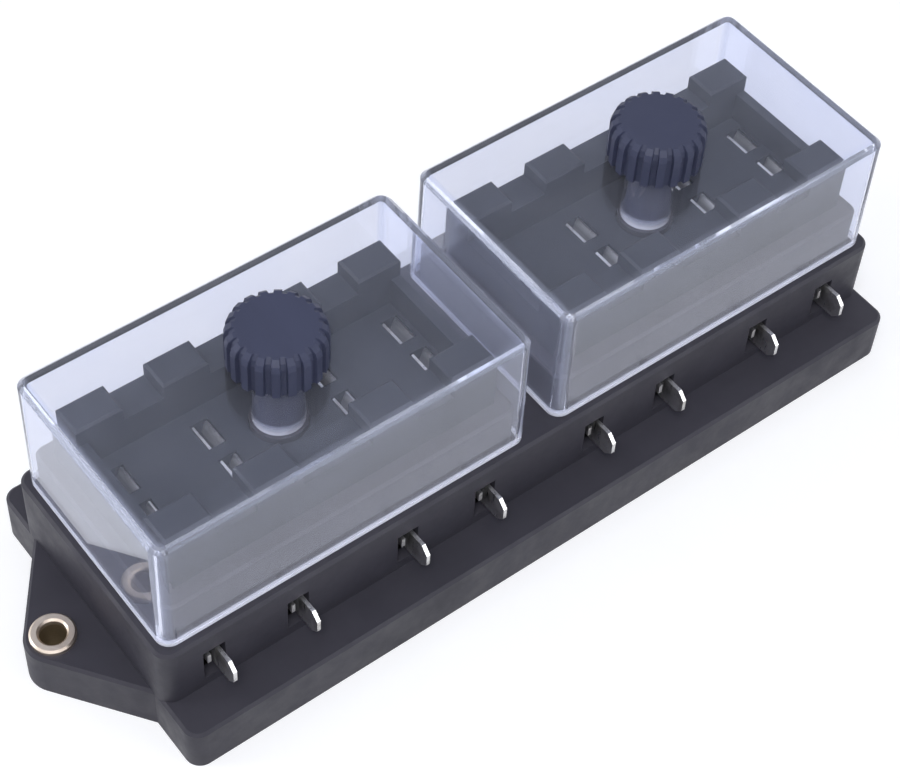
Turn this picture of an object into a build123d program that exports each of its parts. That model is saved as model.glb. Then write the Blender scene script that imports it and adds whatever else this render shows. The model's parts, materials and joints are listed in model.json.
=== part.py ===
"""Eight-way blade fuse box: one black base, two fuse carriers, two clear covers with fluted knobs.

Millimetres. +Z is up, X runs along the row of fuses, and the origin is the middle of the underside.
"""
import os

from build123d import *

# Ways: the middles of the four fuses under each cover
way_pitch = 18.6
post_gap = 25.4
blade_spacing = 9.5

# Fuse carrier
block_width = 10.0
carrier_width = 36.2
trough_width = 22.4
trough_end_wall = 2.2
trough_floor_z = 37.4
carrier_low_z = 44.9
carrier_end_z = 44.1
carrier_high_z = 48.4
carrier_fit = 0.1
carrier_edge = 0.5
well_length = 6.5
well_width = 4.0
core_width = 3.0
core_top_gap = 2.4

# Base moulding
corner_radius = 3.2
edge_chamfer = 0.6
base_wall = 2.4
plinth_height = 10.8
wall_height = 15.4
ledge_depth = 8.8
shelf_border = 1.6
deck_thickness = 2.4
deck_z = 24.0
rib_thickness = 1.8
spigot_end_wall = 3.0
spigot_side_wall = 3.6
spigot_height = 10.1
spigot_radius = 2.4

# Ears and eyelets
ear_reach = 8.6
ear_tip_radius = 5.7
ear_root_width = 43.0
ear_wall = 2.2
ear_boss_radius = 5.4
eyelet_bore = 5.3
eyelet_gauge = 0.65
eyelet_flange = 9.0
eyelet_flange_thickness = 1.2
eyelet_edge = 0.4
eyelet_foot = 8.2
eyelet_foot_recess = 0.8
press_fit = 0.02

# Terminals and the windows they come out of
window_width = 4.8
window_height = 8.2
window_shift = 1.0
tab_width = 6.3
tab_thickness = 0.8
tab_chamfer = 1.7
tab_reach = 5.2
tab_z = 17.3
arm_start = 2.6
neck_width = 4.4
slot_clearance = 0.1
tongue_offset = 2.3
tongue_width = 2.3
tongue_reach = 0.3
tongue_length = 6.5
clip_gauge = 0.5
clip_width = 6.0
clip_half_span = 1.5
clip_pinch = 0.5
clip_lip_drop = 2.6
clip_shoulder = 4.6

# Clear covers
cover_height = 29.2
cover_wall = 1.7
cover_top = 2.0
cover_clearance = 0.5
cover_gap = 6.9
cover_draft = 0.6
cover_edge = 1.1
cover_seat_gap = 0.3
cover_inner_radius = 1.2
tube_radius = 5.2
tube_wall = 1.0
tube_post_gap = 0.35
seat_ring_radius = 6.6
seat_ring_height = 0.5

# Knobs, studs, posts and inserts
knob_radius = 9.6
knob_height = 8.9
knob_gap = 0.3
knob_shoulder = 1.3
knob_shoulder_radius = 9.2
knob_crown = 0.9
knob_crown_radius = 8.1
flute_count = 20
flute_share = 0.36
flute_depth = 0.75
shank_clearance = 0.3
stud_radius = 2.5
stud_chamfer = 0.6
stud_grip = 14.0
post_radius = 5.7
post_rise = 1.2
post_clearance = 0.15
insert_radius = 3.2
insert_length = 12.0
insert_sink = 0.2
thread_clearance = 0.06
stud_engagement = 11.0

# Back plate and its screws
plate_thickness = 2.0
plate_clearance = 0.15
plate_rebate_lip = 0.9
screw_radius = 1.45
screw_head_radius = 2.7
screw_length = 7.0
pilot_radius = 1.15
boss_radius = 3.4
boss_inset = 5.0

# Worked out from the sizes above
way_offsets = [
    -post_gap / 2 - way_pitch,
    -post_gap / 2,
    post_gap / 2,
    post_gap / 2 + way_pitch,
]
carrier_length = post_gap + 2 * way_pitch + block_width
spigot_length = carrier_length + 2 * (carrier_fit + spigot_end_wall)
spigot_width = carrier_width + 2 * (carrier_fit + spigot_side_wall)
cover_length = spigot_length + 2 * (cover_clearance + cover_wall)
cover_width = spigot_width + 2 * (cover_clearance + cover_wall)
cover_pitch = cover_length + cover_gap
cover_centres = [-cover_pitch / 2, cover_pitch / 2]
way_places = [centre + offset for centre in cover_centres for offset in way_offsets]

body_length = cover_pitch + cover_length + 2 * shelf_border
body_width = cover_width + 2 * shelf_border
body_height = plinth_height + wall_height
plinth_width = body_width + 2 * ledge_depth
ledge_underside = plinth_height - base_wall
deck_underside = deck_z - deck_thickness
spigot_top = body_height + spigot_height
ear_place = body_length / 2 + ear_reach

cover_bottom = body_height + cover_seat_gap
cover_top_z = cover_bottom + cover_height
post_top = trough_floor_z + post_rise
tube_bottom = post_top + tube_post_gap
tube_bore = tube_radius - tube_wall
shank_radius = tube_bore - shank_clearance
shank_bottom = tube_bottom + tube_post_gap
knob_bottom = cover_top_z + seat_ring_height + knob_gap
insert_top = post_top - insert_sink
stud_bottom = insert_top - stud_engagement
eyelet_tube_radius = eyelet_bore / 2 + eyelet_gauge

boss_x = body_length / 2 - base_wall - boss_inset
boss_y = plinth_width / 2 - base_wall - boss_inset
boss_places = [(x, y) for x in (-boss_x, boss_x) for y in (-boss_y, boss_y)]
pair_middle = (post_gap + way_pitch) / 2
rib_places = [0.0] + [centre + step for centre in cover_centres for step in (-pair_middle, 0, pair_middle)]

# Ear outline: a round tip joined by straight flanks to a wide root inside the plinth
with BuildSketch() as ear_outline:
    with Locations((ear_place, 0)):
        Circle(ear_tip_radius)
    with Locations((body_length / 2 - base_wall / 2, 0)):
        Rectangle(base_wall, ear_root_width)
    make_hull()

with BuildSketch() as ear_core:
    with Locations((ear_place, 0)):
        Circle(ear_tip_radius - ear_wall)
    with Locations((body_length / 2 + ear_wall, 0)):
        Rectangle(ear_wall, ear_root_width - 5 * ear_wall)
    make_hull()
    with Locations((ear_place, 0)):
        Circle(ear_boss_radius, mode=Mode.SUBTRACT)

# Base moulding
with BuildPart() as base_moulding:
    with BuildSketch():
        RectangleRounded(body_length, plinth_width, corner_radius)
        add(ear_outline.sketch)
        add(ear_outline.sketch.mirror(Plane.YZ))
    extrude(amount=plinth_height)
    chamfer(base_moulding.faces().sort_by(Axis.Z)[-1].edges(), edge_chamfer)
    with BuildSketch():
        RectangleRounded(body_length, body_width, corner_radius)
    extrude(amount=body_height)
    chamfer(base_moulding.faces().sort_by(Axis.Z)[-1].edges(), edge_chamfer)
    with BuildSketch(Plane.XY.offset(body_height)):
        for x in cover_centres:
            with Locations((x, 0)):
                RectangleRounded(spigot_length, spigot_width, spigot_radius)
    extrude(amount=spigot_height)
    chamfer(base_moulding.faces().group_by(Axis.Z)[-1].edges(), edge_chamfer)

    # hollow underside, with a rebate for the back plate
    with BuildSketch():
        Rectangle(
            body_length - 2 * (base_wall - plate_rebate_lip),
            plinth_width - 2 * (base_wall - plate_rebate_lip),
        )
    extrude(amount=plate_thickness, mode=Mode.SUBTRACT)
    with BuildSketch():
        Rectangle(body_length - 2 * base_wall, plinth_width - 2 * base_wall)
    extrude(amount=ledge_underside, mode=Mode.SUBTRACT)
    with BuildSketch():
        Rectangle(body_length - 2 * base_wall, body_width - 2 * base_wall)
    extrude(amount=deck_underside, mode=Mode.SUBTRACT)

    # wells that the fuse carriers drop into
    with BuildSketch(Plane.XY.offset(deck_z)):
        for x in cover_centres:
            with Locations((x, 0)):
                Rectangle(carrier_length + 2 * carrier_fit, carrier_width + 2 * carrier_fit)
    extrude(amount=spigot_top - deck_z, mode=Mode.SUBTRACT)

    # ribs across the underside, and one along it between the two rows of terminals
    with BuildSketch(Plane.XY.offset(plate_thickness)):
        for x in rib_places:
            with Locations((x, 0)):
                Rectangle(rib_thickness, plinth_width - base_wall)
        Rectangle(body_length - base_wall, rib_thickness)
    extrude(amount=ledge_underside - plate_thickness)
    with BuildSketch(Plane.XY.offset(ledge_underside)):
        for x in rib_places:
            with Locations((x, 0)):
                Rectangle(rib_thickness, body_width - base_wall)
        Rectangle(body_length - base_wall, rib_thickness)
    extrude(amount=deck_underside - ledge_underside)

    # posts for the knobs, and bosses for the plate's screws
    with BuildSketch(Plane.XY.offset(plate_thickness)):
        for x in cover_centres:
            with Locations((x, 0)):
                Circle(post_radius)
    extrude(amount=post_top - plate_thickness)
    with BuildSketch(Plane.XY.offset(plate_thickness)):
        with Locations(*boss_places):
            Circle(boss_radius)
    extrude(amount=ledge_underside - plate_thickness)

    # windows in the long walls that the tabs come out of
    with BuildSketch(Plane.XZ.offset(body_width / 2)):
        for x in way_places:
            with Locations((x - window_shift, tab_z)):
                Rectangle(window_width, window_height)
    extrude(amount=-base_wall, mode=Mode.SUBTRACT)
    with BuildSketch(Plane.XZ.offset(-body_width / 2)):
        for x in way_places:
            with Locations((x + window_shift, tab_z)):
                Rectangle(window_width, window_height)
    extrude(amount=base_wall, mode=Mode.SUBTRACT)

    # slots in the deck for the necks of the terminals
    with BuildSketch(Plane.XY.offset(deck_underside)):
        for x in way_places:
            with Locations((x, -blade_spacing / 2), (x, blade_spacing / 2)):
                Rectangle(tab_thickness + 2 * slot_clearance, neck_width + 2 * slot_clearance)
    extrude(amount=deck_thickness, mode=Mode.SUBTRACT)

    # bores for the inserts, the screws and the eyelets, and the hollow ears
    with BuildSketch(Plane.XY.offset(post_top)):
        for x in cover_centres:
            with Locations((x, 0)):
                Circle(insert_radius + press_fit)
    extrude(amount=-(insert_length + insert_sink), mode=Mode.SUBTRACT)
    with BuildSketch(Plane.XY.offset(plate_thickness)):
        with Locations(*boss_places):
            Circle(pilot_radius)
    extrude(amount=screw_length - plate_thickness, mode=Mode.SUBTRACT)
    with BuildSketch():
        add(ear_core.sketch)
        add(ear_core.sketch.mirror(Plane.YZ))
    extrude(amount=ledge_underside, mode=Mode.SUBTRACT)
    with BuildSketch():
        with Locations((-ear_place, 0), (ear_place, 0)):
            Circle(eyelet_tube_radius + press_fit)
    extrude(amount=plinth_height, mode=Mode.SUBTRACT)
    with BuildSketch():
        with Locations((-ear_place, 0), (ear_place, 0)):
            Circle(eyelet_foot / 2 + press_fit)
    extrude(amount=eyelet_foot_recess, mode=Mode.SUBTRACT)

base_moulding.part.label = "base_moulding"

# Fuse carrier, in its own frame over the middle of one cover
with BuildPart() as carrier:
    with BuildSketch(Plane.XY.offset(deck_z)):
        Rectangle(carrier_length, carrier_width)
    extrude(amount=carrier_low_z - deck_z)
    with BuildSketch(Plane.XY.offset(carrier_low_z)):
        for x in way_offsets:
            with Locations((x, 0)):
                Rectangle(block_width, carrier_width)
    extrude(amount=carrier_high_z - carrier_low_z)
    with BuildSketch(Plane.XY.offset(trough_floor_z)):
        Rectangle(carrier_length - 2 * trough_end_wall, trough_width)
    extrude(amount=carrier_high_z - trough_floor_z, mode=Mode.SUBTRACT)
    with BuildSketch(Plane.XY.offset(carrier_end_z)):
        Rectangle(carrier_length, trough_width)
    extrude(amount=carrier_high_z - carrier_end_z, mode=Mode.SUBTRACT)
    top_edges = carrier.faces().group_by(Axis.Z)[-1].edges()
    chamfer(top_edges, carrier_edge)

    # wells for the clips, open below, and the hole for the post
    with BuildSketch(Plane.XY.offset(deck_z)):
        for x in way_offsets:
            with Locations((x, -blade_spacing / 2), (x, blade_spacing / 2)):
                Rectangle(well_width, well_length)
        Circle(post_radius + post_clearance)
    extrude(amount=trough_floor_z - deck_z, mode=Mode.SUBTRACT)

    # cored side walls
    core_y = (carrier_width + trough_width) / 4
    with BuildSketch(Plane.XY.offset(deck_z)):
        for x in (-pair_middle, pair_middle):
            with Locations((x, -core_y), (x, core_y)):
                Rectangle(way_pitch + block_width / 2, core_width)
    extrude(amount=carrier_low_z - core_top_gap - deck_z, mode=Mode.SUBTRACT)

# Terminal, in its own frame at the middle of a way, its tab pointing to the back
neck_top = deck_z + clip_gauge / 2
leaf_x = clip_half_span
lip_z = trough_floor_z - clip_gauge / 2
clip_path = [
    (-leaf_x, lip_z),
    (-clip_pinch, lip_z - clip_lip_drop),
    (-leaf_x, deck_z + clip_shoulder),
    (-leaf_x, neck_top),
    (leaf_x, neck_top),
    (leaf_x, deck_z + clip_shoulder),
    (clip_pinch, lip_z - clip_lip_drop),
    (leaf_x, lip_z),
]
tab_low = tab_z - tab_width / 2
tab_high = tab_z + tab_width / 2
tab_end = body_width / 2 + tab_reach
tongue_end = body_width / 2 + tongue_reach
neck_near = blade_spacing / 2 - neck_width / 2
neck_far = blade_spacing / 2 + neck_width / 2

with BuildPart() as terminal:
    # spring clip: one strip bent into a pinched U
    with BuildSketch(Plane.XZ.offset(-blade_spacing / 2)):
        with BuildLine():
            Polyline(*clip_path)
        trace(line_width=clip_gauge)
    extrude(amount=clip_width / 2, both=True)
    # neck, arm and tab: the same strip folded double
    with BuildSketch(Plane.YZ):
        with BuildLine():
            Polyline(
                (neck_near, neck_top),
                (neck_near, tab_high),
                (arm_start, tab_high),
                (arm_start, tab_low),
                (tab_end - tab_chamfer, tab_low),
                (tab_end, tab_low + tab_chamfer),
                (tab_end, tab_high - tab_chamfer),
                (tab_end - tab_chamfer, tab_high),
                (neck_far, tab_high),
                (neck_far, neck_top),
                close=True,
            )
        make_face()
    extrude(amount=tab_thickness / 2, both=True)
    # tongue beside the arm, its end showing in the window
    with BuildSketch(Plane.XY.offset(tab_high - tongue_width)):
        with BuildLine():
            Polyline(
                (0, tongue_end - tongue_length),
                (tongue_offset, tongue_end - tongue_length),
                (tongue_offset, tongue_end),
            )
        trace(line_width=tab_thickness)
    extrude(amount=tongue_width)

# Clear cover, in its own frame over the middle of its carrier
with BuildPart() as cover:
    with BuildSketch(Plane.XY.offset(cover_bottom)):
        RectangleRounded(cover_length, cover_width, cover_inner_radius + cover_wall)
    extrude(amount=cover_height, taper=cover_draft)
    chamfer(cover.faces().sort_by(Axis.Z)[-1].edges(), cover_edge)
    with BuildSketch(Plane.XY.offset(cover_bottom)):
        RectangleRounded(
            cover_length - 2 * cover_wall,
            cover_width - 2 * cover_wall,
            cover_inner_radius,
        )
    extrude(amount=cover_height - cover_top, taper=cover_draft, mode=Mode.SUBTRACT)
    with BuildSketch(Plane.XY.offset(tube_bottom)):
        Circle(tube_radius)
    extrude(amount=cover_top_z - tube_bottom)
    with BuildSketch(Plane.XY.offset(cover_top_z)):
        Circle(seat_ring_radius)
    extrude(amount=seat_ring_height)
    with BuildSketch(Plane.XY.offset(tube_bottom)):
        Circle(tube_bore)
    extrude(amount=knob_bottom - tube_bottom, mode=Mode.SUBTRACT)

# Knob with its fluted head and its shank, moulded round the stud
pitch_angle = 360 / flute_count
ridge_half = pitch_angle * (0.5 - flute_share / 2) * 0.8
valley_half = pitch_angle * flute_share / 2
flute_corners = []
for flute in range(flute_count):
    ridge_angle = flute * pitch_angle
    valley_angle = ridge_angle + pitch_angle / 2
    for radius, angle in (
        (knob_radius, ridge_angle - ridge_half),
        (knob_radius, ridge_angle + ridge_half),
        (knob_radius - flute_depth, valley_angle - valley_half),
        (knob_radius - flute_depth, valley_angle + valley_half),
    ):
        flute_corners.append(Vector(radius, 0).rotate(Axis.Z, angle))

knob_top = knob_bottom + knob_height
knob_levels = [
    (knob_bottom, knob_radius),
    (knob_top - knob_crown - knob_shoulder, knob_radius),
    (knob_top - knob_crown, knob_shoulder_radius),
    (knob_top, knob_crown_radius),
]

with BuildPart() as knob:
    for z, radius in knob_levels:
        with BuildSketch(Plane.XY.offset(z)):
            with BuildLine():
                Polyline(*[corner * (radius / knob_radius) for corner in flute_corners], close=True)
            make_face()
    loft(ruled=True)
    with BuildSketch(Plane.XY.offset(shank_bottom)):
        Circle(shank_radius)
    extrude(amount=knob_bottom - shank_bottom)
    with BuildSketch(Plane.XY.offset(shank_bottom)):
        Circle(stud_radius + press_fit)
    extrude(amount=stud_grip, mode=Mode.SUBTRACT)

with BuildPart() as stud:
    with BuildSketch(Plane.XY.offset(stud_bottom)):
        Circle(stud_radius)
    extrude(amount=shank_bottom + stud_grip - stud_bottom)
    chamfer(stud.edges().sort_by(Axis.Z)[0], stud_chamfer)

# Threaded insert in the post
with BuildPart() as insert:
    with BuildSketch(Plane.XY.offset(insert_top)):
        Circle(insert_radius)
        Circle(stud_radius + thread_clearance, mode=Mode.SUBTRACT)
    extrude(amount=-insert_length)

# Eyelet: a tube with a rolled flange on the ear and a smaller one under it
with BuildPart() as eyelet:
    with BuildSketch(Plane.XZ):
        with BuildLine():
            Polyline(
                (eyelet_bore / 2, 0),
                (eyelet_foot / 2, 0),
                (eyelet_foot / 2, eyelet_foot_recess),
                (eyelet_tube_radius, eyelet_foot_recess),
                (eyelet_tube_radius, plinth_height),
                (eyelet_flange / 2, plinth_height),
                (eyelet_flange / 2, plinth_height + eyelet_flange_thickness),
                (eyelet_bore / 2, plinth_height + eyelet_flange_thickness),
                close=True,
            )
        make_face()
    revolve(axis=Axis.Z)
    chamfer(eyelet.faces().sort_by(Axis.Z)[-1].edges(), eyelet_edge)

# Back plate and its screws
with BuildPart() as back_plate:
    with BuildSketch():
        Rectangle(
            body_length - 2 * (base_wall - plate_rebate_lip + plate_clearance),
            plinth_width - 2 * (base_wall - plate_rebate_lip + plate_clearance),
        )
    extrude(amount=plate_thickness)
    with Locations(*[Location((x, y, 0), (180, 0, 0)) for x, y in boss_places]):
        CounterSinkHole(screw_radius + slot_clearance, screw_head_radius + slot_clearance, plate_thickness)

back_plate.part.label = "back_plate"

with BuildPart() as plate_screws:
    head_depth = screw_head_radius - pilot_radius
    with BuildSketch(Plane.XZ):
        with BuildLine():
            Polyline(
                (0, 0),
                (screw_head_radius, 0),
                (pilot_radius - press_fit, head_depth),
                (pilot_radius - press_fit, screw_length - press_fit),
                (0, screw_length - press_fit),
                close=True,
            )
        make_face()
    revolve(axis=Axis.Z)

# Place, name and write every piece
pieces = [base_moulding.part, back_plate.part]


def place(shape, name, x=0.0, turn=0.0):
    """A copy of a piece moved along X, turned about Z and named."""
    copy = shape.moved(Location((x, 0, 0), (0, 0, turn)))
    copy.label = name
    pieces.append(copy)


for side, x in zip(("left", "right"), cover_centres):
    place(carrier.part, f"fuse_carrier_{side}", x)
    place(cover.part, f"cover_{side}", x)
    place(knob.part, f"knob_{side}", x)
    place(stud.part, f"knob_stud_{side}", x)
    place(insert.part, f"post_insert_{side}", x)
for side, x in (("left", -ear_place), ("right", ear_place)):
    place(eyelet.part, f"eyelet_{side}", x)
for number, x in enumerate(way_places, start=1):
    place(terminal.part, f"front_terminal_{number}", x, 180)
    place(terminal.part, f"rear_terminal_{number}", x)

screws = [plate_screws.part.moved(Location((x, y, 0))) for x, y in boss_places]
screw_group = Compound(label="plate_screws", children=screws)
pieces.append(screw_group)

os.makedirs("parts", exist_ok=True)
for piece in pieces:
    export_step(piece, f"parts/{piece.label}.step")
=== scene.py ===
"""Looks, light and camera for the eight-way blade fuse box."""

import json
import math

import bpy
from mathutils import Matrix, Vector

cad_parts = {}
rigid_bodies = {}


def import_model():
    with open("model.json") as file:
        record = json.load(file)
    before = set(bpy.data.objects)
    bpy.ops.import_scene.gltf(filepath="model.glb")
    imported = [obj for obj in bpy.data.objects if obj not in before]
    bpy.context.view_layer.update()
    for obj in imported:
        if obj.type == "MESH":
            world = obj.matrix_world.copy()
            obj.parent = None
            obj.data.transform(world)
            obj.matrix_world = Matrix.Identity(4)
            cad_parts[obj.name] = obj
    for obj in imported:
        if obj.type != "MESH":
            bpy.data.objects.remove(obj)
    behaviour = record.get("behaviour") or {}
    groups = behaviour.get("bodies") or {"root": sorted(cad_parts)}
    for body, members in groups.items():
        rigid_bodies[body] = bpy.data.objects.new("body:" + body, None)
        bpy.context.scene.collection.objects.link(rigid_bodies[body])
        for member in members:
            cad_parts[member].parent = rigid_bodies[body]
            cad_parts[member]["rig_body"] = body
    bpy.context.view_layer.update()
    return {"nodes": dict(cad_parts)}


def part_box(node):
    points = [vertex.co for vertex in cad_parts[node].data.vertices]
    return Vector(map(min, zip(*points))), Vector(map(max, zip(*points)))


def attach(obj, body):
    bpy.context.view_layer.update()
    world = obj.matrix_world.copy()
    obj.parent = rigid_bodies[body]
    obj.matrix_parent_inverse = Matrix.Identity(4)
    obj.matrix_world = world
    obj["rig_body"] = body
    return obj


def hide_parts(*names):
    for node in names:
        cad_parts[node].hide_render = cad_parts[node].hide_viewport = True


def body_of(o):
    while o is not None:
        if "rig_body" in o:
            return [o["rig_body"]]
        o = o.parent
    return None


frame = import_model()
nodes = frame["nodes"]
scene = bpy.context.scene

MM = 0.001

# Places in the solids that the materials follow
COVER_MIDDLE = 45.05 * MM
COVER_HALF_LENGTH = 41.6 * MM
COVER_HALF_WIDTH = 24.0 * MM
COVER_LOW = 26.5 * MM
COVER_HIGH = 55.7 * MM
COVER_DRAFT = math.radians(0.6)
TUBE_LOW = 38.95 * MM
EYELET_PLACE = 96.85 * MM
EYELET_BORE = 2.65 * MM
EYELET_TOP = 11.9 * MM
CLIP_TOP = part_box("front_terminal_1")[1].z
TAB_START = 25.0 * MM

# Fades: where a mask begins and where it is full. Depths in a cover's wall are 0 at its outer
# face and negative within.
WALL_FADE = (-2.3 * MM, -1.9 * MM)
BAND_FADE = (-2.4 * MM, -1.8 * MM)
POST_FADE = (-2.6 * MM, -1.8 * MM)
EDGE_FADE = (-0.9 * MM, -0.45 * MM)
RIM_FADE = (COVER_LOW + 1.1 * MM, COVER_LOW + 0.6 * MM)
TOP_FADE = (COVER_HIGH - 2.6 * MM, COVER_HIGH - 1.9 * MM)
TOP_EDGE_FADE = (COVER_HIGH - 0.9 * MM, COVER_HIGH - 0.45 * MM)
TUBE_FADE = (5.6 * MM, 5.3 * MM)
TUBE_TOP_FADE = (53.4 * MM, 52.8 * MM)
MOUTH_FADE = (TUBE_LOW + 2.6 * MM, TUBE_LOW + 0.5 * MM)
BORE_FADE = (EYELET_BORE + 0.2 * MM, EYELET_BORE)
BORE_TOP_FADE = (EYELET_TOP - 0.4 * MM, EYELET_TOP - 1.6 * MM)
CLIP_FADE = (CLIP_TOP - 0.25 * MM, CLIP_TOP - 1.6 * MM)
TAB_FADE = (TAB_START, TAB_START - 0.5 * MM)

# The covers' haze, all over and in each part. In the band, edge, rim and mouth the added haze is
# painted highlight: pale strips along the top and corner edges, the bottom rims and the tubes'
# mouths.
HAZE_LOW = 0.014
HAZE_HIGH = 0.030
MOST_HAZE_AND_HIGHLIGHT = 0.85
ADDED_HAZE_AND_HIGHLIGHT = {
    "wall": 0.006,
    "end": 0.055,
    "band": 0.05,
    "post": 0.06,
    "tube": 0.008,
    "mouth": 0.6,
    "rim": 0.62,
    "edge": 0.12,
}
SCUFFED_ROUGHNESS = 0.22

# Shades of plastic and metal, and the painted shade in the metal's wells and bores
DARKER = 0.90
LIGHTER = 1.12
WELL_SHADE_MOST = 0.8
PAINTED_SHADE_ROUGHNESS = 0.3

# Broken edges of the covers and knobs
ROUNDING = 0.22 * MM
ROUNDING_SEGMENTS = 3
ROUNDED_ANGLE = math.radians(28)
WELD_REACH = 0.002 * MM

# The floor that curves up into a wall, and how it glows further out
SWEEP_RADIUS = 2.6
SWEEP_BEND = 0.7
SWEEP_HEIGHT = 2.0
SWEEP_STEPS = 12
SWEEP_AROUND = 96
FLOOR_INNER = 0.5
FLOOR_HOLE = 0.1 * MM
FLOOR_DROP = 0.02 * MM
GLOW_REACH = (0.4, 2.0)
GLOW_STRENGTH = (0.45, 0.80)

# Threads. Root and flank are shares of half a pitch.
THREAD_ROOT = 0.12
THREAD_FLANK = 0.72
ROWS_PER_TURN = 10
STUD_PITCH = 0.8 * MM
STUD_THREAD = 0.45 * MM
STUD_CHAMFER = 0.6 * MM
STUD_AROUND = 40
SCREW_HEAD = 2.7 * MM
SCREW_SHANK = 1.2 * MM
SCREW_PITCH = 1.1 * MM
SCREW_THREAD = 0.3 * MM
SCREW_TIP = 0.5 * MM
SCREW_AROUND = 48
SHARP_ANGLE = math.radians(35)

# The cross recess. Its corners are those of an arm's end and the inner one before the next arm.
CROSS_REACH = 1.5 * MM
CROSS_ARM = 0.32 * MM
CROSS_DEPTH = 1.0 * MM
CROSS_FLOOR = 0.8
CROSS_CORNERS = ((CROSS_REACH, -CROSS_ARM), (CROSS_REACH, CROSS_ARM), (CROSS_ARM, CROSS_ARM))
CROSS_RIM_STEPS = 2

# Light and camera
WORLD_COLOR = (0.84, 0.88, 1.0, 1)
WORLD_STRENGTH = 0.6
AIM_HEIGHT = 0.03
CAMERA_PLACE = (-0.1857, -0.2131, 0.3653)
CAMERA_AZIMUTH = math.radians(40.51)
CAMERA_ELEVATION = math.radians(51.15)
CAMERA_ROLL = math.radians(4.02)
CAMERA_LENS = 88.44
CAMERA_SENSOR = 36.0
CAMERA_NEAR = 0.01


# Materials
class Nodes:
    """A short way to build one procedural material."""

    def __init__(self, name):
        self.material = bpy.data.materials.new(name)
        self.material.use_nodes = True
        self.tree = self.material.node_tree
        self.shader = self.tree.nodes["Principled BSDF"]
        self.output = self.tree.nodes["Material Output"]
        self.place = self.tree.nodes.new("ShaderNodeTexCoord").outputs["Object"]

    def link(self, source, target):
        self.tree.links.new(source, target)

    def feed(self, socket, source):
        self.link(source, self.shader.inputs[socket])

    def set(self, **values):
        for key, value in values.items():
            self.shader.inputs[key.replace("_", " ")].default_value = value

    def axes(self):
        node = self.tree.nodes.new("ShaderNodeSeparateXYZ")
        self.link(self.place, node.inputs["Vector"])
        return (node.outputs[axis] for axis in "XYZ")

    def stretched(self, scale):
        mapping = self.tree.nodes.new("ShaderNodeMapping")
        mapping.inputs["Scale"].default_value = scale
        self.link(self.place, mapping.inputs["Vector"])
        return mapping.outputs["Vector"]

    def noise(self, scale, detail=4.0, rough=0.55, place=None, distortion=0.0):
        node = self.tree.nodes.new("ShaderNodeTexNoise")
        node.inputs["Scale"].default_value = scale
        node.inputs["Detail"].default_value = detail
        node.inputs["Roughness"].default_value = rough
        node.inputs["Distortion"].default_value = distortion
        self.link(place or self.place, node.inputs["Vector"])
        return node.outputs["Fac"]

    def cells(self, scale):
        node = self.tree.nodes.new("ShaderNodeTexVoronoi")
        node.inputs["Scale"].default_value = scale
        self.link(self.place, node.inputs["Vector"])
        return node.outputs["Distance"]

    def spread(self, value, low, high, to_low, to_high):
        """Brings a value from one range to another, and holds it within the second."""
        node = self.tree.nodes.new("ShaderNodeMapRange")
        node.inputs["From Min"].default_value = low
        node.inputs["From Max"].default_value = high
        node.inputs["To Min"].default_value = to_low
        node.inputs["To Max"].default_value = to_high
        self.link(value, node.inputs["Value"])
        return node.outputs["Result"]

    def mask(self, value, fade):
        return self.spread(value, *fade, 0.0, 1.0)

    def math(self, operation, first, second=None):
        node = self.tree.nodes.new("ShaderNodeMath")
        node.operation = operation
        for socket, value in zip(node.inputs, (first, second)):
            if isinstance(value, (int, float)):
                socket.default_value = value
            elif value is not None:
                self.link(value, socket)
        return node.outputs["Value"]

    def distance(self, along, across):
        """Distance from an axis."""
        squares = [self.math("POWER", offset, 2.0) for offset in (along, across)]
        return self.math("SQRT", self.math("ADD", *squares))

    def ramp(self, value, stops):
        node = self.tree.nodes.new("ShaderNodeValToRGB")
        elements = node.color_ramp.elements
        while len(elements) < len(stops):
            elements.new(0.5)
        for element, (where, color) in zip(elements, stops):
            element.position = where
            element.color = (*color, 1.0)
        self.link(value, node.inputs["Fac"])
        return node.outputs["Color"]

    def blend(self, share, source, color):
        """Mixes a plain colour over a source. The sockets 0, 6 and 7 are factor and colours."""
        node = self.tree.nodes.new("ShaderNodeMix")
        node.data_type = "RGBA"
        self.link(share, node.inputs[0])
        self.link(source, node.inputs[6])
        node.inputs[7].default_value = (*color, 1.0)
        return node.outputs[2]

    def bump(self, height, distance, strength, under=None):
        node = self.tree.nodes.new("ShaderNodeBump")
        node.inputs["Strength"].default_value = strength
        node.inputs["Distance"].default_value = distance
        self.link(height, node.inputs["Height"])
        if under:
            self.link(under, node.inputs["Normal"])
        return node.outputs["Normal"]


def tint(color, factor):
    return tuple(min(1.0, c * factor) for c in color)


def moulded_plastic(name, color, rough_low, rough_high):
    """Matt moulded plastic: faint flow marks, fine grain and uneven gloss."""
    m = Nodes(name)
    drawn_out = m.stretched((1.0, 0.55, 1.6))
    flow = m.noise(scale=38.0, detail=5.0, rough=0.6, place=drawn_out, distortion=0.6)
    shades = [(0.32, tint(color, DARKER)), (0.5, color), (0.68, tint(color, LIGHTER))]
    m.feed("Base Color", m.ramp(flow, shades))
    gloss = m.noise(scale=130.0, detail=6.0, rough=0.65)
    m.feed("Roughness", m.spread(gloss, 0.35, 0.65, rough_low, rough_high))
    waves = m.bump(m.noise(scale=55.0, detail=2.0), distance=0.12 * MM, strength=0.35)
    grain = m.noise(scale=1500.0, detail=3.0)
    m.feed("Normal", m.bump(grain, distance=0.02 * MM, strength=0.5, under=waves))
    m.set(Specular_IOR_Level=0.3)
    return m.material


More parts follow.
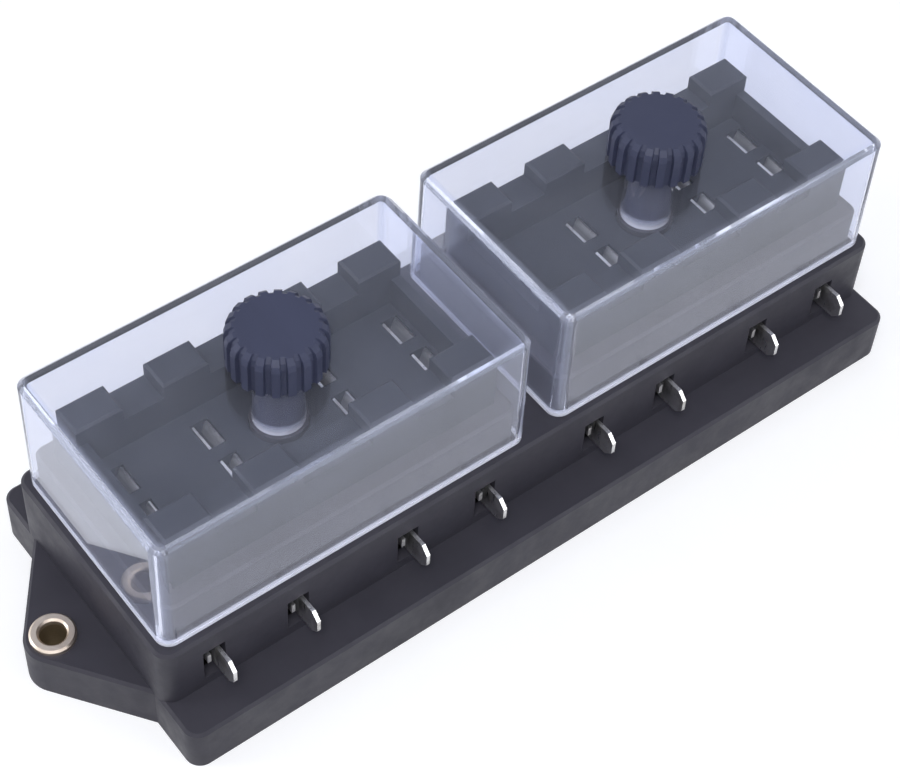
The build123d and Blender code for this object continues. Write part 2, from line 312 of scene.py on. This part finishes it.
def cover_masks(m):
    """Where the parts of the covers are that have more haze. The band, edge, rim and mouth are
    where haze is painted as highlight.
    """
    x, y, z = m.axes()
    along = m.math("ABSOLUTE", m.math("SUBTRACT", m.math("ABSOLUTE", x), COVER_MIDDLE))
    across = m.math("ABSOLUTE", y)
    radius = m.distance(along, across)
    lean = m.math("MULTIPLY", m.math("SUBTRACT", z, COVER_LOW), math.tan(COVER_DRAFT))
    end_depth = m.math("ADD", m.math("SUBTRACT", along, COVER_HALF_LENGTH), lean)
    side_depth = m.math("ADD", m.math("SUBTRACT", across, COVER_HALF_WIDTH), lean)
    depth = m.math("MAXIMUM", end_depth, side_depth)
    corner = m.math("MINIMUM", end_depth, side_depth)

    wall = m.mask(depth, WALL_FADE)
    tube = m.math("MULTIPLY", m.mask(radius, TUBE_FADE), m.mask(z, TUBE_TOP_FADE))
    top_edge = m.math("MULTIPLY", m.mask(z, TOP_EDGE_FADE), m.mask(depth, EDGE_FADE))
    return {
        "wall": wall,
        "end": m.mask(end_depth, WALL_FADE),
        "band": m.math("MULTIPLY", m.mask(z, TOP_FADE), m.mask(depth, BAND_FADE)),
        "post": m.math("MULTIPLY", wall, m.mask(corner, POST_FADE)),
        "tube": tube,
        "mouth": m.math("MULTIPLY", tube, m.mask(z, MOUTH_FADE)),
        "rim": m.mask(z, RIM_FADE),
        "edge": m.math("MAXIMUM", top_edge, m.mask(corner, EDGE_FADE)),
    }


def clear_plastic(name):
    """Clear moulded plastic: light haze, more of it in walls and tubes, painted highlight as extra
    haze in the top band, edges, rims and tubes' mouths, and scuffed, rougher edges.
    """
    m = Nodes(name)
    masks = cover_masks(m)
    cloud = m.noise(scale=48.0, detail=4.0, rough=0.6, distortion=0.8)
    haze_and_highlight = m.spread(cloud, 0.3, 0.7, HAZE_LOW, HAZE_HIGH)
    # The band, edge, rim and mouth add painted highlight as paler haze.
    for part, amount in ADDED_HAZE_AND_HIGHLIGHT.items():
        haze_and_highlight = m.math("ADD", haze_and_highlight, m.math("MULTIPLY", masks[part], amount))
    haze_and_highlight = m.math("MINIMUM", haze_and_highlight, MOST_HAZE_AND_HIGHLIGHT)
    shades = [(0.0, (0.92, 0.93, 0.98)), (0.12, (0.80, 0.84, 1.0)), (0.7, (0.92, 0.93, 1.0))]
    m.feed("Base Color", m.ramp(haze_and_highlight, shades))
    m.feed("Transmission Weight", m.math("SUBTRACT", 1.0, haze_and_highlight))
    gloss = m.spread(cloud, 0.3, 0.7, 0.005, 0.03)
    scuffs = m.math("MULTIPLY", masks["edge"], SCUFFED_ROUGHNESS)
    m.feed("Roughness", m.math("ADD", gloss, scuffs))
    waves = m.noise(scale=16.0, detail=1.0)
    m.feed("Normal", m.bump(waves, distance=0.04 * MM, strength=0.3))
    m.set(IOR=1.49, Specular_IOR_Level=0.44, Specular_Tint=(0.76, 0.82, 1.0, 1.0))
    return m.material


def bore_painted_shade(m):
    """Where the eyelets' bores are painted darker: painted shade in the hollow."""
    x, y, z = m.axes()
    along = m.math("SUBTRACT", m.math("ABSOLUTE", x), EYELET_PLACE)
    within = m.mask(m.distance(along, y), BORE_FADE)
    return m.math("MULTIPLY", within, m.mask(z, BORE_TOP_FADE))


def well_painted_shade(m):
    """Where the clips are painted darker and duller down in their wells: painted shade. Their upper
    edges and the tabs stay bright.
    """
    _, y, z = m.axes()
    deep = m.spread(z, *CLIP_FADE, 0.0, WELL_SHADE_MOST)
    return m.math("MULTIPLY", deep, m.mask(m.math("ABSOLUTE", y), TAB_FADE))


def metal(name, color, rough_low, rough_high, grain, dull, painted_shade_where=None, painted_shade_color=None):
    """Plated or turned metal with drawn grain, dull blooms and small pits.

    Where a function is given for it, that function says where painted shade lies over the metal, in
    the colour given with it, and the metal is rougher there.
    """
    m = Nodes(name)
    lines = m.noise(scale=2200.0, detail=4.0, rough=0.7, place=m.stretched(grain))
    bloom = m.noise(scale=210.0, detail=5.0, rough=0.6)
    face = m.ramp(bloom, [(0.30, dull), (0.48, color), (0.72, tint(color, LIGHTER))])
    rough = m.spread(lines, 0.3, 0.7, rough_low, rough_high)
    # Painted shade: where the function says, the colour given darkens the metal and the roughness
    # rises.
    if painted_shade_where:
        where = painted_shade_where(m)
        face = m.blend(where, face, painted_shade_color)
        rough = m.math("ADD", rough, m.math("MULTIPLY", where, PAINTED_SHADE_ROUGHNESS))
    m.feed("Base Color", face)
    m.feed("Roughness", rough)
    pits = m.bump(m.cells(900.0), distance=0.015 * MM, strength=0.3)
    m.feed("Normal", m.bump(lines, distance=0.01 * MM, strength=0.4, under=pits))
    m.set(Metallic=1.0)
    return m.material


def fibre_board(name):
    """Dark pressed board with short pale fibres."""
    m = Nodes(name)
    lengthwise = m.stretched((0.35, 1.0, 1.0))
    fibres = m.noise(scale=700.0, detail=6.0, rough=0.75, place=lengthwise, distortion=1.2)
    shades = [
        (0.35, (0.020, 0.018, 0.016)),
        (0.6, (0.040, 0.036, 0.031)),
        (0.74, (0.085, 0.075, 0.062)),
    ]
    m.feed("Base Color", m.ramp(fibres, shades))
    m.feed("Roughness", m.spread(fibres, 0.3, 0.7, 0.6, 0.85))
    m.feed("Normal", m.bump(fibres, distance=0.04 * MM, strength=0.5))
    m.set(Specular_IOR_Level=0.3)
    return m.material


black = moulded_plastic(
    "black_moulding", (0.043, 0.041, 0.053), rough_low=0.42, rough_high=0.62,
)
carrier_black = moulded_plastic(
    "carrier_moulding", (0.026, 0.029, 0.040), rough_low=0.5, rough_high=0.66,
)
# Its blue tint is painted reflection: bluish light on the knob, put into its colour.
knob_black = moulded_plastic(
    "knob_moulding", (0.047, 0.053, 0.095), rough_low=0.42, rough_high=0.58,
)
clear = clear_plastic("clear_cover")
# The tinned clips get painted shade down in their wells, in the colour given last.
tinned = metal(
    "tinned_contacts", (0.90, 0.89, 0.88), rough_low=0.24, rough_high=0.42,
    grain=(1.0, 1.0, 0.08), dull=(0.62, 0.60, 0.57), painted_shade_where=well_painted_shade, painted_shade_color=(0.30, 0.30, 0.32),
)
# The eyelets get painted shade in their bores, in the colour given last.
nickel = metal(
    "plated_eyelet", (0.80, 0.69, 0.58), rough_low=0.3, rough_high=0.46,
    grain=(0.4, 0.4, 1.0), dull=(0.70, 0.58, 0.47), painted_shade_where=bore_painted_shade, painted_shade_color=(0.26, 0.20, 0.12),
)
brass = metal(
    "turned_brass", (0.80, 0.62, 0.30), rough_low=0.2, rough_high=0.4,
    grain=(0.3, 0.3, 1.0), dull=(0.42, 0.28, 0.12),
)
steel = metal(
    "zinc_steel", (0.66, 0.66, 0.68), rough_low=0.2, rough_high=0.42,
    grain=(0.4, 0.4, 1.0), dull=(0.45, 0.42, 0.38),
)
board = fibre_board("insulating_board")

FINISHES = {
    "base_moulding": black,
    "fuse_carrier": carrier_black,
    "cover": clear,
    "knob_stud": steel,
    "knob": knob_black,
    "eyelet": nickel,
    "front_terminal": tinned,
    "rear_terminal": tinned,
    "post_insert": brass,
    "back_plate": board,
    "plate_screws": steel,
}


def finish_of(name):
    """The finish whose key is the longest that the node's name begins with."""
    fitting = [key for key in FINISHES if name.startswith(key)]
    return FINISHES[max(fitting, key=len)]


for name, node in nodes.items():
    node.visible_shadow = not name.startswith("cover")
    material = finish_of(name)
    if not node.material_slots:
        node.data.materials.append(material)
    for slot in node.material_slots:
        slot.material = material


# Edges broken as a moulding's are
def rounded(node):
    weld = node.modifiers.new("weld", "WELD")
    weld.merge_threshold = WELD_REACH
    bevel = node.modifiers.new("broken_edges", "BEVEL")
    bevel.width = ROUNDING
    bevel.segments = ROUNDING_SEGMENTS
    bevel.limit_method = "ANGLE"
    bevel.angle_limit = ROUNDED_ANGLE
    bevel.harden_normals = True


for name in ("cover_left", "cover_right", "knob_left", "knob_right"):
    rounded(nodes[name])


# Meshes made of rings
def mesh_object(name, points, faces, material):
    """An object from points and faces, smooth but for its sharp edges."""
    mesh = bpy.data.meshes.new(name)
    mesh.from_pydata(points, [], faces)
    mesh.validate()
    mesh.shade_smooth()
    mesh.set_sharp_from_angle(angle=SHARP_ANGLE)
    mesh.materials.append(material)
    shown = bpy.data.objects.new(name, mesh)
    scene.collection.objects.link(shown)
    return shown


def ring(middle, radius, height, around):
    """Points on a level circle. The radius is a length, or a function of the share of the turn."""
    points = []
    for step in range(around):
        share = step / around
        reach = radius(share) if callable(radius) else radius
        angle = 2 * math.pi * share
        x = middle.x + reach * math.cos(angle)
        y = middle.y + reach * math.sin(angle)
        points.append((x, y, height))
    return points


def strung(rings):
    """The points of several rings, one ring after the other."""
    return [point for circle in rings for point in circle]


def skin(rings, first=0):
    """Faces between rings that have as many points each. The first point has the number first."""
    around = len(rings[0])
    faces = []
    for row in range(len(rings) - 1):
        near = first + row * around
        far = near + around
        for step in range(around):
            after = (step + 1) % around
            faces.append((near + step, near + after, far + after, far + step))
    return faces


# Floor
def pale_floor():
    """A pale floor that the camera, gloss and glass see as near white, with the shadow kept."""
    m = Nodes("pale_floor")
    make = m.tree.nodes.new
    m.tree.nodes.remove(m.shader)

    plain = make("ShaderNodeBsdfDiffuse")
    grain = m.noise(scale=40.0, detail=5.0, rough=0.5)
    shades = [(0.0, (0.66, 0.66, 0.67)), (1.0, (0.70, 0.70, 0.70))]
    m.link(m.ramp(grain, shades), plain.inputs["Color"])

    reach = make("ShaderNodeVectorMath")
    reach.operation = "LENGTH"
    m.link(m.place, reach.inputs[0])
    glow = make("ShaderNodeEmission")
    strength = m.spread(reach.outputs["Value"], *GLOW_REACH, *GLOW_STRENGTH)
    m.link(strength, glow.inputs["Strength"])
    both = make("ShaderNodeAddShader")
    m.link(plain.outputs[0], both.inputs[0])
    m.link(glow.outputs[0], both.inputs[1])

    path = make("ShaderNodeLightPath")
    seen = path.outputs["Is Camera Ray"]
    for ray in ("Is Glossy Ray", "Is Transmission Ray"):
        seen = m.math("MAXIMUM", seen, path.outputs[ray])
    mix = make("ShaderNodeMixShader")
    for socket, source in zip(mix.inputs, (seen, plain.outputs[0], both.outputs[0])):
        m.link(source, socket)
    m.link(mix.outputs[0], m.output.inputs["Surface"])
    return m.material


def studio_sweep():
    """A flat round floor that curves up into a wall on all sides."""
    flat = SWEEP_RADIUS - SWEEP_BEND
    profile = [(SWEEP_RADIUS, SWEEP_HEIGHT)]
    for step in range(SWEEP_STEPS, 0, -1):
        angle = math.pi / 2 * step / SWEEP_STEPS
        profile.append((flat + SWEEP_BEND * math.sin(angle), SWEEP_BEND * (1 - math.cos(angle))))
    profile += [(flat, 0.0), (FLOOR_INNER, 0.0), (FLOOR_HOLE, 0.0)]
    middle = Vector((0, 0, 0))
    rings = [ring(middle, radius, height, SWEEP_AROUND) for radius, height in profile]
    floor = mesh_object("floor", strung(rings), skin(rings), pale_floor())
    floor.location = (0, 0, -FLOOR_DROP)


studio_sweep()


# Threads and small fasteners
def threaded_rings(middle, low, high, crest, pitch, depth, most, around):
    """Rings of a threaded rod. The function most limits the radius at a height."""
    rows = round((high - low) / pitch * ROWS_PER_TURN)
    rings = []
    for row in range(rows + 1):
        height = low + (high - low) * row / rows

        def radius(share):
            phase = ((height - low) / pitch - share) % 1.0
            slope = (1 - abs(2 * phase - 1) - THREAD_ROOT) / THREAD_FLANK
            ridge = min(1.0, max(0.0, slope))
            return min(crest - depth * (1 - ridge), most(height))

        rings.append(ring(middle, radius, height, around))
    return rings


def stand_in(shown, node_name):
    """Shows a piece in the place of a solid, on the solid's body."""
    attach(shown, body_of(nodes[node_name])[0])
    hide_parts(node_name)


def threaded_stud(name, node_name):
    """The knob's stud with its thread."""
    low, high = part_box(node_name)
    crest = (high.x - low.x) / 2
    rings = threaded_rings(
        (low + high) / 2, low.z, high.z, crest, STUD_PITCH, STUD_THREAD,
        lambda height: crest - STUD_CHAMFER + height - low.z, STUD_AROUND,
    )
    points = strung(rings)
    lower_end = tuple(range(STUD_AROUND))[::-1]
    upper_end = tuple(range(len(points) - STUD_AROUND, len(points)))
    faces = [lower_end, upper_end, *skin(rings)]
    stand_in(mesh_object(name, points, faces, steel), node_name)


def cross_outline(middle, size, height):
    """Points around a cross recess, as large as size says."""
    points = []
    for quarter in range(4):
        turn = Matrix.Rotation(math.pi / 2 * quarter, 2)
        for corner in CROSS_CORNERS:
            place = turn @ Vector(corner) * size
            points.append((middle.x + place.x, middle.y + place.y, height))
    return points


def head_faces(mouth):
    """Faces of a screw's head from its rim, at the point 0, to the mouth of its recess."""
    arm_points = len(CROSS_CORNERS)
    quarter_points = SCREW_AROUND // 4
    faces = []
    for quarter in range(4):
        arm = mouth + arm_points * quarter
        next_arm = mouth + arm_points * ((quarter + 1) % 4)
        rim = [
            (quarter_points * quarter + step) % SCREW_AROUND
            for step in range(-CROSS_RIM_STEPS, quarter_points - CROSS_RIM_STEPS + 1)
        ]
        beyond_arm = rim[:2 * CROSS_RIM_STEPS + 1]
        between_arms = rim[2 * CROSS_RIM_STEPS:]
        faces.append((arm, arm + 1, *reversed(beyond_arm)))
        faces.append((arm + 1, arm + 2, next_arm, *reversed(between_arms)))
    return faces


def cross_screw(middle, low, high):
    """Points and faces of a countersunk screw, head down, with its thread and cross recess."""
    neck = low + SCREW_HEAD - SCREW_SHANK
    rings = [ring(middle, SCREW_HEAD, low, SCREW_AROUND)]
    rings += threaded_rings(
        middle, neck, high, SCREW_SHANK, SCREW_PITCH, SCREW_THREAD,
        lambda height: SCREW_SHANK - SCREW_TIP + high - height, SCREW_AROUND,
    )
    points = strung(rings)
    faces = skin(rings)
    faces.append(tuple(range(len(points) - SCREW_AROUND, len(points))))

    recess = [
        cross_outline(middle, CROSS_FLOOR, low + CROSS_DEPTH),
        cross_outline(middle, 1.0, low),
    ]
    floor = len(points)
    mouth = floor + len(recess[0])
    points += strung(recess)
    faces += skin(recess, floor)
    faces.append(tuple(range(floor, mouth))[::-1])
    return points, faces + head_faces(mouth)


def cross_screws(name, node_name):
    """The back plate's screws, one in each corner of the plate."""
    low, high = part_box(node_name)
    points = []
    faces = []
    for x in (low.x + SCREW_HEAD, high.x - SCREW_HEAD):
        for y in (low.y + SCREW_HEAD, high.y - SCREW_HEAD):
            screw_points, screw_faces = cross_screw(Vector((x, y, 0)), low.z, high.z)
            start = len(points)
            points += screw_points
            faces += [tuple(start + corner for corner in face) for face in screw_faces]
    stand_in(mesh_object(name, points, faces, steel), node_name)


for side in ("left", "right"):
    threaded_stud(f"threaded_stud_{side}", f"knob_stud_{side}")
cross_screws("cross_screws", "plate_screws")

# Light
world = bpy.data.worlds.new("studio")
scene.world = world
world.use_nodes = True
background = world.node_tree.nodes["Background"]
background.inputs["Color"].default_value = WORLD_COLOR
background.inputs["Strength"].default_value = WORLD_STRENGTH


def softbox(name, place, wide, high, watts, color=(1, 1, 1)):
    """A rectangular area lamp aimed at the middle of the object."""
    lamp = bpy.data.lights.new(name, "AREA")
    lamp.shape = "RECTANGLE"
    lamp.size = wide
    lamp.size_y = high
    lamp.energy = watts
    lamp.color = color
    holder = bpy.data.objects.new(name, lamp)
    scene.collection.objects.link(holder)
    holder.location = place
    aim = Vector((0, 0, AIM_HEIGHT)) - Vector(place)
    holder.rotation_euler = aim.to_track_quat("-Z", "Y").to_euler()


softbox("key", (-0.45, -0.5, 1.1), wide=0.5, high=0.5, watts=7.0)
softbox("front", (0.54, -0.94, 0.61), wide=0.62, high=0.22, watts=1.9, color=(0.92, 0.94, 1.0))
softbox("left", (-0.95, 0.60, 0.44), wide=0.36, high=0.50, watts=3.4, color=(0.95, 0.96, 1.0))


# Camera
def photograph_camera():
    """A camera at the photograph's place, which looks down at the front and the left end."""
    ahead = Vector((
        math.sin(CAMERA_AZIMUTH) * math.cos(CAMERA_ELEVATION),
        math.cos(CAMERA_AZIMUTH) * math.cos(CAMERA_ELEVATION),
        -math.sin(CAMERA_ELEVATION),
    ))
    level = Vector((math.cos(CAMERA_AZIMUTH), -math.sin(CAMERA_AZIMUTH), 0))
    above = level.cross(ahead)
    right = math.cos(CAMERA_ROLL) * level + math.sin(CAMERA_ROLL) * above
    up = -math.sin(CAMERA_ROLL) * level + math.cos(CAMERA_ROLL) * above
    lens = bpy.data.cameras.new("camera")
    lens.sensor_width = CAMERA_SENSOR
    lens.lens = CAMERA_LENS
    lens.clip_start = CAMERA_NEAR
    camera = bpy.data.objects.new("camera", lens)
    scene.collection.objects.link(camera)
    turn = Matrix((right, up, -ahead)).transposed().to_4x4()
    camera.matrix_world = Matrix.Translation(CAMERA_PLACE) @ turn
    scene.camera = camera


photograph_camera()
scene.view_settings.view_transform = "Standard"
